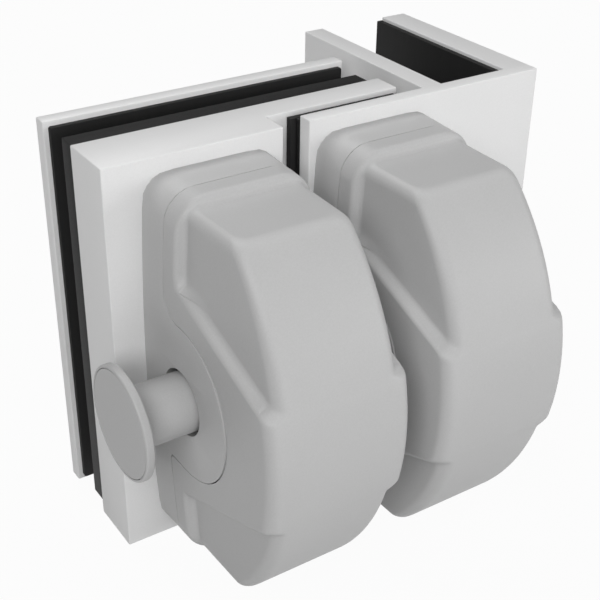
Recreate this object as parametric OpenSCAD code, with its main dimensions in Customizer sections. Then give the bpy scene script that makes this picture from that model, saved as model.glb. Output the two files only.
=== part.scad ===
// Latch for a frameless glass shower door that closes at a right angle to a fixed glass panel.
// The door half clamps the door's edge. The keeper half grips the panel in a channel behind it.
// X runs across the door, Y towards the room behind the glass, Z up.
// X = 0 is the middle of the gap between the two plates, Y = 0 the front face of the door glass,
// and Z = 0 the middle of the plates' height.

/* [Plates] */
// Height of both plates
plate_h = 100; // [90:1:120]
// Width of the door plate's thick part
door_w = 44; // [42:0.5:60]
// Thickness of the door plate's thick part
door_t = 15; // [14:0.5:20]
// Width of the tongue that laps behind the keeper plate
tongue_w = 36.9; // [20:0.1:38]
// Thickness of the tongue
tongue_t = 7.6; // [6:0.1:9]
// Gap between the edges of the two plates
plate_gap = 6.9; // [5:0.1:9]
// Thickness of the rear clamp plate
rear_plate_t = 3.8; // [3.6:0.1:6]
// Width of the keeper plate
keeper_w = 68.7; // [67:0.1:90]
// Thickness of the keeper plate
keeper_t = 4; // [3.5:0.1:5]
// Thickness of the fin beside the door
inner_fin_t = 5.8; // [4:0.1:8]
// Thickness of the outer fin
outer_fin_t = 7.6; // [5:0.1:10]
// Clear width between the two fins
channel_w = 20.2; // [19:0.1:24]
// Depth of the channel behind the keeper plate
channel_d = 51; // [40:0.1:70]

/* [Glass and rubber] */
// Thickness of the door glass
door_glass_t = 6; // [5:0.5:10]
// Thickness of the fixed panel's glass
panel_glass_t = 12; // [8:0.5:13]
// Thickness of the front gasket
front_gasket_t = 7.6; // [5:0.2:10]
// Thickness of the rear gasket
rear_gasket_t = 1.4; // [1:0.1:2]
// Corner radius of the rear gasket
rear_gasket_r = 2; // [1:0.5:4]
// Thickness of the pads in the lap and in the channel
pad_t = 1.75; // [1:0.05:1.75]
// How far rubber stays inside the edge of its plate
rubber_inset = 1.2; // [0.5:0.1:2]
// How far the lap pad reaches into the gap between the plates
pad_reach = 1.4; // [0.5:0.1:2]
// Top and bottom margin of the pad on the outer fin
outer_pad_inset = 0.8; // [0.5:0.1:2]

/* [Housings] */
// Width of each housing
housing_w = 36; // [33:0.2:38]
// Height of each housing
housing_h = 92.8; // [88:0.2:98]
// Farthest reach of a housing in front of its plate
housing_d = 52.4; // [48:0.2:56]
// Margin between each housing and its plate's inner edge
housing_margin = 0.5; // [0.2:0.1:3]
// Radius of the curved front
front_r = 60; // [56:1:70]
// Corner radius of the housing where it meets its plate
corner_r = 7.2; // [6:0.2:9]
// Wall thickness of the mouldings
wall = 2.4; // [2:0.1:2.8]
// Depth of the rear moulding, up to the seam
base_d = 9.5; // [7:0.5:11]
// Width of the seam between the two mouldings
seam = 0.25; // [0.1:0.05:0.4]
// Depth at which the cover starts to step in
flange_d = 13.6; // [12.4:0.2:16]
// How far the cover steps in above and below
step_in = 1.8; // [1.5:0.1:3]
// How far the cover steps in at the sides, beyond the raised panels
side_step = 2.5; // [2:0.1:4]
// Radius of the sides, which are slightly curved when seen from the front
side_r = 590; // [300:10:900]
// Depth over which the step runs
step_run = 3; // [2:0.2:6]
// Half height of the raised side panel where it leaves the flange
panel_h = 27.2; // [25:0.1:29]
// How softly the raised side panel's outline turns out of the flange
panel_soft = 3; // [1:0.5:5]
// How fast the raised side panel narrows towards the front
panel_taper = 0.376; // [0.34:0.004:0.4]
// Rounding of the cover's front edges
edge_r = 3.4; // [2:0.2:4]
// Rounding where the flat top turns into the curved front
crease_r = 5.2; // [3:0.2:8]
// Radius of the round ear that carries the bolt
ear_r = 18.5; // [16:0.1:20]
// Fillet where the ear leaves the rear moulding, above
ear_fillet_top = 6; // [3:0.5:8]
// Fillet where the ear leaves the rear moulding, below
ear_fillet_low = 1.6; // [1:0.1:3]

/* [Bolt] */
// Distance of the bolt's axis in front of the plates
axis_d = 16.9; // [14.5:0.1:18]
// How far the bolt lies below the middle of the plates
bolt_drop = 0; // [-2:0.1:3]
// Diameter of the bolt
bolt_dia = 10; // [8:0.5:11]
// How far the bolt reaches into the keeper housing
bolt_bite = 8.5; // [7:0.5:9]
// Travel of the knob
travel = 10; // [8.5:0.5:10]
// Diameter of the pull knob's disc
knob_dia = 26.1; // [22:0.1:30]
// Thickness of the pull knob's disc
knob_t = 2; // [1.6:0.1:4]
// Diameter of the knob's neck
neck_dia = 13.8; // [12.6:0.2:14.4]
// Distance from the housing's side to the knob's front face
knob_reach = 14.9; // [14:0.1:20]
// Fillet between the knob's neck and its disc
knob_fillet = 3; // [1:0.5:4]
// Rim left round the knob's inset cap
cap_rim = 0.7; // [0.5:0.1:1.5]
// Thickness of the knob's inset cap
cap_t = 0.8; // [0.5:0.1:1.2]
// Diameter of the hole round the knob's neck
neck_hole_dia = 15.6; // [15:0.1:16.4]
// Diameter of the bore in the keeper's bush
strike_dia = 11.2; // [10.8:0.1:12]
// Length of the knob's bush
neck_bush_l = 4; // [3:0.5:4]
// Length of the bolt's bush, from the outside of the wall
bolt_bush_l = 7.4; // [6:0.2:7.6]
// Length of the keeper's bush, from the outside of the wall
strike_bush_l = 12; // [10:0.5:14]
// Wall of the three bushes
bush_wall = 2; // [1.5:0.1:2.4]
// Wall of the sockets that hold the bushes
socket_wall = 1.6; // [1.2:0.1:2]
// Diameter of the spring's wire
wire_dia = 1.1; // [0.8:0.1:1.2]
// Number of turns of the spring
spring_turns = 5.5; // [4.5:0.5:6]
// Thickness of the washer under the spring
washer_t = 1.2; // [1:0.1:1.4]
// Thickness of the retaining ring
ring_t = 1; // [0.8:0.1:1.1]
// How far the retaining ring stands out of the bolt
ring_rim = 2; // [1.5:0.1:3]
// Depth of its groove in the bolt
ring_groove = 0.8; // [0.5:0.1:1]
// Width of its open mouth
ring_mouth = 7; // [4:0.2:7.4]

/* [Fasteners] */
// Distance of the housing screws from the housing's middle, sideways
post_x = 8.5; // [7:0.1:9]
// Distance of the housing screws from the housing's middle, up and down
post_z = 34; // [32:0.5:35]
// Diameter of the housing screws
post_screw_dia = 4; // [3:0.5:4]
// Diameter of the posts that take them
post_dia = 7.6; // [7.2:0.1:8]
// How far a housing screw reaches into its post
post_grip = 10; // [6:0.5:12]
// Metal left in front of a housing screw's head in the door plate
head_seat = 5.5; // [4:0.1:7]
// Diameter of the clamp screws
clamp_dia = 6; // [5:0.5:6]
// Distance of the clamp screws from the door plate's outer edge
clamp_x = 36; // [35:0.5:38]
// Distance of the clamp screws above and below the middle
clamp_z = 20; // [16:0.5:24]
// Length of the clamp screws
clamp_l = 30; // [26:0.5:31]
// Outer diameter of the sleeves in the glass
sleeve_dia = 12; // [10:0.5:13]
// Distance of the set screws above and below the middle
set_z = 28; // [20:0.5:34]
// Diameter of the set screws
set_dia = 6; // [5:0.5:8]
// Thickness of the pressure plate
press_t = 2.5; // [1.5:0.1:2.6]
// Margin of the pressure plate inside the channel, above and below
press_margin = 8; // [8:0.5:14]
// Margin of the pressure plate inside the channel, front and back
press_side = 4; // [2:0.5:10]

/* [Hidden] */
$fn = 48;

// Clearances
screw_play = 0.05;
running_play = 0.05;
bush_play = 0.02;
touch = 0.05;
// Room beyond a screw's tip in a blind hole
hole_spare = 1;
// Overlap that joins two shapes or carries a cut past a face
over = 0.5;
nudge = 0.1;

// Places of the plates
front_y = -(door_t + front_gasket_t);
door_back = -front_gasket_t;
tongue_face = door_back - tongue_t;
keeper_back = front_y + keeper_t;
door_right = -plate_gap / 2;
door_left = door_right - door_w;
tongue_end = door_right + tongue_w;
keeper_left = plate_gap / 2;
keeper_right = keeper_left + keeper_w;
channel_right = keeper_right - outer_fin_t;
channel_left = channel_right - channel_w;
fin_left = channel_left - inner_fin_t;
fin_end = keeper_back + channel_d;
rear_gasket_y = door_glass_t;
rear_plate_y = rear_gasket_y + rear_gasket_t;
rear_plate_back = rear_plate_y + rear_plate_t;

// Places of the housings
half_w = housing_w / 2;
half_h = housing_h / 2;
latch_x = door_right - housing_margin - half_w;
keeper_x = keeper_left + housing_margin + half_w;
housing_gap = keeper_x - latch_x - housing_w;
arc_back = front_r - housing_d;
inner_w = half_w - wall;
body_half_h = half_h - step_in;
axis_z = -bolt_drop;
floor_front = wall;

// Bolt group, measured from the middle of the latch housing
neck_bush_end = -inner_w + neck_bush_l;
bolt_bush_start = half_w - bolt_bush_l;
ring_x = bolt_bush_start - nudge - ring_t;
washer_x = ring_x - washer_t;
knob_front = -half_w - knob_reach;
neck_end = neck_bush_end + travel + ring_t + washer_t;
bolt_r = bolt_dia / 2;
bolt_start = -inner_w + wall;
bolt_tip = half_w + housing_gap + bolt_bite;
tip_bevel = 2;
spring_start = neck_bush_end + touch;
spring_l = washer_x - touch - spring_start;
spring_r = neck_dia / 2 + touch + wire_dia;
ring_groove_r = bolt_r - ring_groove;
neck_bush_r = neck_dia / 2 + running_play + bush_wall;
bolt_bush_r = bolt_r + running_play + bush_wall;
strike_bush_r = strike_dia / 2 + bush_wall;

// Screws
post_screw_r = post_screw_dia / 2;
pan_head_r = post_screw_dia * 0.95;
pan_head_t = post_screw_dia * 0.6;
flat_head_r = post_screw_dia;
clamp_r = clamp_dia / 2;
clamp_head_r = clamp_dia * 0.95;
clamp_head_t = clamp_head_r - clamp_r;
hex_socket = 0.5;
clamp_screw_x = door_left + clamp_x;
outer_pad_face = channel_right - pad_t;
inner_pad_face = outer_pad_face - panel_glass_t;
press_x = inner_pad_face - pad_t - press_t;
set_start = fin_left + nudge;
set_y = (keeper_back + fin_end) / 2;

// Facets of the covers
arc_steps = 14;
crease_steps = 3;
step_levels = 4;
round_steps = 3;
corner_steps = 5;
side_steps = 5;
coil_steps = 12;
wire_sides = 6;

// A flat shape in X and Z, carried forward from the plates by d
module forward(d) {
    rotate([90, 0, 0]) linear_extrude(d) children();
}

// A flat shape in Y and Z, carried to the right from x by w
module sideways(x, w) {
    translate([x, 0, 0]) rotate([90, 0, 90]) linear_extrude(w) children();
}

// A round bar along X from x, l long
module bar(x, l, r) {
    translate([x, 0, 0]) rotate([0, 90, 0]) cylinder(h = l, r = r);
}

module tube(x, l, r_out, r_in) {
    difference() {
        bar(x, l, r_out);
        bar(x - over, l + 2 * over, r_in);
    }
}

module block(low, high) {
    translate(low) cube(high - low);
}

module rounded_rect(w, h, r) {
    square([w - 2 * r, h], center = true);
    square([w, h - 2 * r], center = true);
    for (sx = [-1, 1], sz = [-1, 1])
        translate([sx * (w / 2 - r), sz * (h / 2 - r)]) circle(r);
}

module at_latch() {
    translate([latch_x, front_y, 0]) children();
}

module at_keeper() {
    translate([keeper_x, front_y, 0]) children();
}

// The bolt's axis, with X measured from the middle of the latch housing
module on_axis() {
    translate([latch_x, front_y - axis_d, axis_z]) children();
}

module on_strike_axis() {
    translate([keeper_x, front_y - axis_d, axis_z]) children();
}

module at_posts() {
    for (sx = [-1, 1], sz = [-1, 1])
        translate([sx * post_x, 0, sz * post_z]) children();
}

// How far a rounded edge of radius r draws in at distance e from the edge
function draw_in(r, e) = e >= r ? 0 : r - sqrt(max(0, r * r - (r - e) * (r - e)));
function ease(t) = t <= 0 ? 0 : t >= 1 ? 1 : t * t * (3 - 2 * t);

// How far the curved sides draw in at height z
function crown(z) = side_r - sqrt(side_r * side_r - z * z);
// Depth at which the raised side panel ends at height z
function soft_rise(t) = (t + sqrt(t * t + panel_soft * panel_soft)) / 2;
function panel_end(z) = flange_d + soft_rise((panel_h - abs(z)) / panel_taper);
// Half width of the cover at depth d and height z, where part t of the step has been taken
function stepped(z, t) = half_w - side_step * t - crown(z)
    - draw_in(corner_r - step_in * t, half_h - step_in * t - abs(z));
function half_width(d, z) = stepped(z, ease((d - panel_end(z)) / step_run));

// Heights of the cover's sections with the depth that each reaches: step, crease, then front arc
crease_z = body_half_h - crease_r;
crease_d = sqrt(pow(front_r - crease_r, 2) - crease_z * crease_z) - arc_back;
crease_angle = atan2(crease_z, crease_d + arc_back);
step_sections = [for (i = [0 : step_levels])
    [half_h - step_in * ease(i / step_levels), flange_d + step_run * i / step_levels, 0.6]];
crease_sections = [for (i = [0 : crease_steps])
    let (a = 90 - (90 - crease_angle) * i / crease_steps)
    [crease_z + crease_r * sin(a) - (i == 0 ? nudge / 2 : 0), crease_d + crease_r * cos(a), edge_r]];
arc_sections = [for (i = [1 : arc_steps])
    let (a = crease_angle * (1 - i / arc_steps))
    [front_r * sin(a), front_r * cos(a) - arc_back, edge_r]];
upper = concat(step_sections, crease_sections, arc_sections);
lower = [for (i = [len(upper) - 2 : -1 : 0]) [-upper[i][0], upper[i][1], upper[i][2]]];
sections = concat(upper, lower);

// Points [x, depth] of one side of a section, from the seam to the front
function side_levels(z, d, r) =
    let (
        full = d - r,
        start = panel_end(z),
        raw = concat(
            [base_d + seam],
            [for (i = [0 : step_levels - 1]) start + step_run * i / (step_levels - 1)],
            [(start + step_run + full) / 2]
        ),
        n = len(raw),
        depths = [for (i = [0 : n - 1]) min(raw[i], full - (n - i) * nudge)]
    )
    concat(
        [for (v = depths) [half_width(v, z), v]],
        [for (i = [0 : round_steps])
            let (a = 90 * i / round_steps, v = full + r * sin(a))
            [half_width(min(v, d), z) - r * (1 - cos(a)), v]]
    );

function section_loop(s) =
    let (side = side_levels(s[0], s[1], s[2]), n = len(side))
    concat(
        [for (p = side) [p[0], -p[1], s[0]]],
        [for (i = [n - 1 : -1 : 0]) [-side[i][0], -side[i][1], s[0]]]
    );

// The outside of a cover, lofted through its level sections
module cover_form() {
    loops = [for (s = sections) section_loop(s)];
    n = len(loops[0]);
    m = len(loops);
    points = [for (loop = loops, p = loop) p];
    walls = [for (k = [0 : m - 2], j = [0 : n - 1], half = [0, 1])
        let (a = k * n + j, b = k * n + (j + 1) % n, c = a + n, e = b + n)
        half == 0 ? [b, a, c] : [b, c, e]];
    top = [for (j = [0 : n / 2 - 2]) [j, j + 1, n - 2 - j, n - 1 - j]];
    bottom = [for (q = top) [for (i = [3 : -1 : 0]) (m - 1) * n + q[i]]];
    polyhedron(points, concat(walls, top, bottom), convexity = 6);
}

// Side view of a housing's body, drawn with the depth pointing to the left
module body_side(h, r) {
    intersection() {
        translate([arc_back, 0]) circle(r, $fn = 96);
        translate([-housing_d, -h]) square([housing_d - floor_front, 2 * h]);
    }
}

// Side view of the hollow behind the raised side panels
module panel_side(margin) {
    front = housing_d - wall;
    start_h = panel_h - margin;
    end_h = panel_h - margin - (front - flange_d) * panel_taper;
    intersection() {
        body_side(body_half_h - wall, front_r - wall);
        polygon([
            [-floor_front, start_h], [-flange_d, start_h], [-front, end_h],
            [-front, -end_h], [-flange_d, -start_h], [-floor_front, -start_h]
        ]);
    }
}

// Outline of the ear that carries the bolt, with the depth pointing to the left
module ear_side(grow) {
    r = ear_r + grow;
    root = base_d + grow;
    translate([-axis_d, axis_z]) intersection() {
        union() {
            circle(r);
            translate([0, -r]) square([axis_d - root + over, 2 * r]);
        }
        translate([-r - over, -r - over]) square([axis_d - root + r + 2 * over, 2 * (r + over)]);
    }
    for (f = [[1, ear_fillet_top], [-1, ear_fillet_low]])
        translate([-root, axis_z + f[0] * r]) difference() {
            translate([-(f[1] - grow), f[0] < 0 ? -(f[1] - grow) : -nudge])
                square([f[1] - grow + over, f[1] - grow + nudge]);
            translate([-(f[1] - grow), f[0] * (f[1] - grow)]) circle(f[1] - grow);
        }
}

// Front view of a housing, where part t of the step and an inset have been taken
function corner_points(w, h, r) = [for (i = [0 : corner_steps])
    let (a = 90 - 90 * i / corner_steps, z = h - r + r * sin(a))
    [w - r * (1 - cos(a)) - crown(z), z]];
function side_points(w, h, r) = [for (i = [1 : side_steps - 1])
    let (z = (h - r) * (1 - i / side_steps))
    [w - crown(z), z]];
module housing_outline(t, inset) {
    w = half_w - side_step * t - inset;
    h = half_h - step_in * t - inset;
    r = corner_r - step_in * t - inset;
    quarter = concat(corner_points(w, h, r), side_points(w, h, r));
    n = len(quarter);
    right = concat(quarter, [[w, 0]], [for (i = [n - 1 : -1 : 0]) [quarter[i][0], -quarter[i][1]]]);
    polygon(concat(right, [for (i = [len(right) - 1 : -1 : 0]) [-right[i][0], right[i][1]]]));
}

module ear_walls(x, w, grow) {
    sideways(x, w) ear_side(grow);
    sideways(-x - w, w) ear_side(grow);
}

// The rear moulding: a shallow tray with an ear on each side and its screw holes
module housing_base() {
    difference() {
        union() {
            difference() {
                forward(base_d) housing_outline(0, 0);
                translate([0, -floor_front, 0]) forward(base_d) housing_outline(0, wall);
            }
            intersection() {
                ear_walls(inner_w, wall, 0);
                forward(housing_d) housing_outline(0, 0);
            }
        }
        at_posts() translate([0, over, 0])
            rotate([90, 0, 0]) cylinder(h = wall + 2 * over, r = post_screw_r + screw_play);
    }
}

// A socket on the inside of an ear for a bush of radius r
module bush_socket(side, l, r) {
    translate([0, -axis_d, axis_z])
        bar(side < 0 ? -inner_w - nudge : inner_w + nudge - l, l, r + bush_play + socket_wall);
}

module bush_bore(side, l, r) {
    translate([0, -axis_d, axis_z]) bar(side < 0 ? -half_w - over : half_w + over - l, l, r);
}

// The front moulding: a lofted shell with ear notches, and four posts for the screws
module housing_cover() {
    difference() {
        cover_form();
        intersection() {
            sideways(-inner_w, 2 * inner_w) body_side(body_half_h - wall, front_r - wall);
            forward(housing_d) housing_outline(1, wall);
        }
        forward(flange_d) housing_outline(0, wall);
        intersection() {
            sideways(-inner_w, 2 * inner_w) panel_side(wall);
            forward(housing_d) housing_outline(0, wall);
        }
        ear_walls(inner_w - seam, wall + seam + over, seam);
    }
    intersection() {
        at_posts() difference() {
            translate([0, -floor_front - touch, 0])
                rotate([90, 0, 0]) cylinder(h = housing_d, r = post_dia / 2);
            rotate([90, 0, 0])
                cylinder(h = floor_front + post_grip + hole_spare, r = post_screw_r + screw_play);
        }
        sideways(-inner_w, 2 * inner_w)
            body_side(body_half_h - wall / 2, front_r - wall / 2);
    }
}

// A screw along Y, its head's outer face at y = 0 and its tip at y = -l
module pan_screw(l, r, head_r, head_t) {
    rotate([90, 0, 0]) {
        difference() {
            cylinder(h = head_t, r = head_r);
            translate([0, 0, -over]) cylinder(h = over + head_t * hex_socket, r = r * 0.8, $fn = 6);
        }
        cylinder(h = l, r = r);
    }
}

module flat_screw(l, r, head_r) {
    rotate([90, 0, 0]) difference() {
        union() {
            cylinder(h = head_r - r, r1 = head_r, r2 = r);
            cylinder(h = l, r = r);
        }
        translate([0, 0, -over]) cylinder(h = over + (head_r - r), r = r * 0.7, $fn = 6);
    }
}

// The hole for a countersunk screw, with its wide end at y = 0
module flat_screw_hole(l, r, head_r) {
    rotate([90, 0, 0]) {
        translate([0, 0, -over]) cylinder(h = l + over, r = r + screw_play);
        translate([0, 0, -screw_play])
            cylinder(h = head_r - r + screw_play, r1 = head_r + 2 * screw_play, r2 = r + screw_play);
        translate([0, 0, -over]) cylinder(h = over, r = head_r + 2 * screw_play);
    }
}

module at_clamps() {
    for (sz = [-1, 1]) translate([clamp_screw_x, 0, sz * clamp_z]) children();
}

module sleeve_holes() {
    at_clamps() translate([0, rear_plate_y + over, 0]) rotate([90, 0, 0])
        cylinder(h = rear_plate_y - door_back + 2 * over, r = sleeve_dia / 2 + nudge);
}

module door_plate() {
    color("Gainsboro") difference() {
        block([door_left, front_y, -plate_h / 2], [tongue_end, door_back, plate_h / 2]);
        block([door_right, front_y - over, -plate_h / 2 - over],
            [tongue_end + over, tongue_face, plate_h / 2 + over]);
        at_latch() at_posts() {
            translate([0, over, 0]) rotate([-90, 0, 0])
                translate([0, 0, head_seat - over]) cylinder(h = door_t, r = pan_head_r + screw_play);
            translate([0, door_t, 0]) rotate([90, 0, 0])
                cylinder(h = door_t + over, r = post_screw_r + screw_play);
        }
        at_clamps() translate([0, rear_plate_back, 0])
            rotate([90, 0, 0]) cylinder(h = clamp_l + hole_spare, r = clamp_r + screw_play);
    }
}

module front_gasket() {
    color("#1c1c1c") difference() {
        block([door_left + rubber_inset, door_back, rubber_inset - plate_h / 2],
            [tongue_end - rubber_inset, 0, plate_h / 2 - rubber_inset]);
        sleeve_holes();
    }
}

module rear_gasket() {
    w = tongue_end - door_left - 2 * rubber_inset;
    color("#1c1c1c") difference() {
        translate([(door_left + tongue_end) / 2, rear_plate_y, 0])
            forward(rear_gasket_t) rounded_rect(w, plate_h - 2 * rubber_inset, rear_gasket_r);
        sleeve_holes();
    }
}

module rear_plate() {
    color("Gainsboro") difference() {
        block([door_left, rear_plate_y, -plate_h / 2], [tongue_end, rear_plate_back, plate_h / 2]);
        at_clamps() translate([0, rear_plate_back, 0])
            flat_screw_hole(rear_plate_t + over, clamp_r, clamp_head_r);
    }
}

module clamp_screws() {
    color("Silver") at_clamps() translate([0, rear_plate_back, 0])
        flat_screw(clamp_l, clamp_r, clamp_head_r);
}

// The sleeves run from plate to plate, a little short so that the plates grip the glass
module glass_sleeves() {
    l = rear_plate_y - door_back - touch - nudge;
    color("#303030") at_clamps() translate([0, door_back + touch, 0]) rotate([-90, 0, 0]) difference() {
        cylinder(h = l, r = sleeve_dia / 2);
        translate([0, 0, -over]) cylinder(h = l + 2 * over, r = clamp_r + screw_play);
    }
}

module tongue_pad() {
    color("#1c1c1c") block([keeper_left - pad_reach, tongue_face - pad_t, rubber_inset - plate_h / 2],
        [tongue_end - rubber_inset, tongue_face, plate_h / 2 - rubber_inset]);
}

module keeper_back_pad() {
    back = min(keeper_back + pad_t, tongue_face - pad_t - touch);
    color("#1c1c1c") block([keeper_left, keeper_back, rubber_inset - plate_h / 2],
        [fin_left - rubber_inset, back, plate_h / 2 - rubber_inset]);
}

module latch_base() {
    color("DarkGray") at_latch() difference() {
        union() {
            housing_base();
            bush_socket(-1, neck_bush_l, neck_bush_r);
            bush_socket(1, bolt_bush_l - wall, bolt_bush_r);
        }
        bush_bore(-1, 2 * over + wall, neck_hole_dia / 2);
        translate([-inner_w, -axis_d, axis_z]) bar(0, neck_bush_l + over, neck_bush_r + bush_play);
        bush_bore(1, bolt_bush_l + 2 * over, bolt_bush_r + bush_play);
    }
}

module latch_cover() {
    color("DarkGray") at_latch() housing_cover();
}

module latch_cover_screws() {
    head_y = head_seat + pan_head_t;
    color("Silver") at_latch() at_posts() translate([0, head_y, 0])
        pan_screw(head_y + floor_front + post_grip, post_screw_r, pan_head_r, pan_head_t);
}

module knob_bush() {
    color("#2a2a2a") on_axis()
        tube(-inner_w, neck_bush_l, neck_bush_r, neck_dia / 2 + running_play);
}

module bolt_bush() {
    color("#2a2a2a") on_axis()
        tube(bolt_bush_start, bolt_bush_l, bolt_bush_r, bolt_r + running_play);
}

module knob() {
    back = knob_front + knob_t;
    neck_r = neck_dia / 2;
    color("DarkGray") on_axis() difference() {
        union() {
            bar(knob_front, knob_t, knob_dia / 2);
            bar(knob_front, neck_end - knob_front, neck_r);
            translate([back, 0, 0]) rotate([0, 90, 0]) rotate_extrude() difference() {
                translate([neck_r - nudge, -nudge]) square(knob_fillet + nudge);
                translate([neck_r + knob_fillet, knob_fillet]) circle(knob_fillet);
            }
        }
        bar(knob_front - over, over + cap_t, knob_dia / 2 - cap_rim);
        bar(bolt_start - nudge, neck_end - bolt_start + over, bolt_r + bush_play);
    }
}

module knob_cap() {
    color("DarkGray") on_axis() bar(knob_front, cap_t, knob_dia / 2 - cap_rim - 2 * touch);
}

module bolt() {
    color("Silver") on_axis() difference() {
        union() {
            bar(bolt_start, bolt_tip - tip_bevel - bolt_start, bolt_r);
            translate([bolt_tip - tip_bevel, 0, 0])
                rotate([0, 90, 0]) cylinder(h = tip_bevel, r1 = bolt_r, r2 = bolt_r - tip_bevel);
        }
        tube(ring_x - touch, ring_t + 2 * touch, bolt_dia, ring_groove_r);
    }
}

module spring_washer() {
    color("Silver") on_axis() tube(washer_x, washer_t - touch, spring_r + wire_dia, bolt_r + touch);
}

module retaining_ring() {
    color("DimGray") on_axis() difference() {
        tube(ring_x, ring_t, bolt_r + ring_rim, ring_groove_r + bush_play);
        translate([ring_x - over, -ring_mouth / 2, 0]) cube([ring_t + 2 * over, ring_mouth, bolt_dia]);
    }
}

// Distance of the spring's wire from its start after u turns, with closed ends
function coil_rise(u) = wire_dia / 2 + wire_dia * min(u, 1)
    + (spring_l - 3 * wire_dia) * min(max((u - 1) / (spring_turns - 2), 0), 1)
    + wire_dia * max(0, u - spring_turns + 1);

module return_spring() {
    rings = round(spring_turns * coil_steps);
    points = [for (i = [0 : rings], j = [0 : wire_sides - 1])
        let (
            u = i / coil_steps,
            a = 360 * u,
            b = 360 * j / wire_sides,
            r = spring_r + wire_dia / 2 * cos(b)
        )
        [spring_start + coil_rise(u) + wire_dia / 2 * sin(b), r * cos(a), r * sin(a)]];
    walls = [for (i = [0 : rings - 1], j = [0 : wire_sides - 1], half = [0, 1])
        let (a = i * wire_sides + j, b = i * wire_sides + (j + 1) % wire_sides)
        half == 0 ? [a, b, a + wire_sides] : [b, b + wire_sides, a + wire_sides]];
    first = [[for (j = [wire_sides - 1 : -1 : 0]) j]];
    last = [[for (j = [0 : wire_sides - 1]) rings * wire_sides + j]];
    color("Silver") on_axis() polyhedron(points, concat(walls, first, last), convexity = 10);
}

module keeper_plate() {
    color("Gainsboro") difference() {
        block([keeper_left, front_y, -plate_h / 2], [keeper_right, fin_end, plate_h / 2]);
        block([keeper_left - over, keeper_back, -plate_h / 2 - over],
            [fin_left, fin_end + over, plate_h / 2 + over]);
        block([channel_left, keeper_back, -plate_h / 2 - over],
            [channel_right, fin_end + over, plate_h / 2 + over]);
        at_keeper() at_posts() translate([0, keeper_t, 0])
            flat_screw_hole(keeper_t + over, post_screw_r, flat_head_r);
        at_set_screws() bar(fin_left - over, inner_fin_t + 2 * over, set_dia / 2 + screw_play);
    }
}

module at_set_screws() {
    for (sz = [-1, 1]) translate([0, set_y, sz * set_z]) children();
}

module set_screws() {
    color("DimGray") at_set_screws() difference() {
        bar(set_start, press_x - set_start, set_dia / 2);
        translate([set_start - over, 0, 0])
            rotate([0, 90, 0]) cylinder(h = over + set_dia / 2, r = set_dia * 0.28, $fn = 6);
    }
}

module pressure_plate() {
    color("Silver") block([press_x, keeper_back + press_side, press_margin - plate_h / 2],
        [press_x + press_t, fin_end - press_side, plate_h / 2 - press_margin]);
}

module inner_glass_pad() {
    color("#1c1c1c") block([inner_pad_face - pad_t, keeper_back + press_side, press_margin - plate_h / 2],
        [inner_pad_face, fin_end - press_side, plate_h / 2 - press_margin]);
}

module outer_glass_pad() {
    color("#1c1c1c") block([outer_pad_face, keeper_back, outer_pad_inset - plate_h / 2],
        [channel_right, fin_end, plate_h / 2 - outer_pad_inset]);
}

module keeper_base() {
    color("DarkGray") at_keeper() difference() {
        union() {
            housing_base();
            bush_socket(-1, strike_bush_l - wall, strike_bush_r);
        }
        bush_bore(-1, strike_bush_l + 2 * over, strike_bush_r + bush_play);
    }
}

module keeper_cover() {
    color("DarkGray") at_keeper() housing_cover();
}

module keeper_cover_screws() {
    color("Silver") at_keeper() at_posts() translate([0, keeper_t, 0])
        flat_screw(keeper_t + floor_front + post_grip, post_screw_r, flat_head_r);
}

module strike_bush() {
    color("#2a2a2a") on_strike_axis() tube(-half_w, strike_bush_l, strike_bush_r, strike_dia / 2);
}

door_plate();
front_gasket();
rear_gasket();
rear_plate();
clamp_screws();
glass_sleeves();
tongue_pad();
latch_base();
latch_cover();
latch_cover_screws();
knob_bush();
bolt_bush();
knob();
knob_cap();
bolt();
spring_washer();
retaining_ring();
return_spring();
keeper_plate();
keeper_back_pad();
outer_glass_pad();
inner_glass_pad();
pressure_plate();
set_screws();
keeper_base();
keeper_cover();
keeper_cover_screws();
strike_bush();
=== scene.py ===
import math
import bpy
from mathutils import Matrix, Vector


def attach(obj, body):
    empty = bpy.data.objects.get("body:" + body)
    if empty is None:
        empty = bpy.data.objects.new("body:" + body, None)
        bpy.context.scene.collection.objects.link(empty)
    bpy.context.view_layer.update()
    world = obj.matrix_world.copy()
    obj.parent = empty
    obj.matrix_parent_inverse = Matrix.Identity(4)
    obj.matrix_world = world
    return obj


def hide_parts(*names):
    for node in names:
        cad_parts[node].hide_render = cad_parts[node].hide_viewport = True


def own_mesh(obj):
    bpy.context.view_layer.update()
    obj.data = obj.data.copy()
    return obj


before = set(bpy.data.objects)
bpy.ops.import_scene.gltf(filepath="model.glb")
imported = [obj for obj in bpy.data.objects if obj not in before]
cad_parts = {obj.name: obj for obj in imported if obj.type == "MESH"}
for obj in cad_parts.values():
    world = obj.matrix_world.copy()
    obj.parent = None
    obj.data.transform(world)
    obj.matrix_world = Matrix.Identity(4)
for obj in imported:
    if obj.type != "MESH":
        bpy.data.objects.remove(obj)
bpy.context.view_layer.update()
mm = 0.001
print("frame loaded")


# Helpers for modelling

def deselectAll():
    if bpy.context.object and bpy.context.object.mode != "OBJECT":
        bpy.ops.object.mode_set(mode="OBJECT")
    bpy.ops.object.select_all(action="DESELECT")


def pick(obj):
    deselectAll()
    obj.select_set(True)
    bpy.context.view_layer.objects.active = obj


def editAll(obj):  # into edit mode with everything selected
    pick(obj)
    bpy.ops.object.mode_set(mode="EDIT")
    bpy.ops.mesh.select_all(action="SELECT")


def addObject(name, data):
    obj = bpy.data.objects.new(name, data)
    bpy.context.scene.collection.objects.link(obj)
    return obj


def settle(obj, name):
    pick(obj)
    bpy.ops.object.transform_apply(location=True, rotation=True, scale=True)
    obj.name = name
    obj.data.name = name
    return obj


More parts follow.
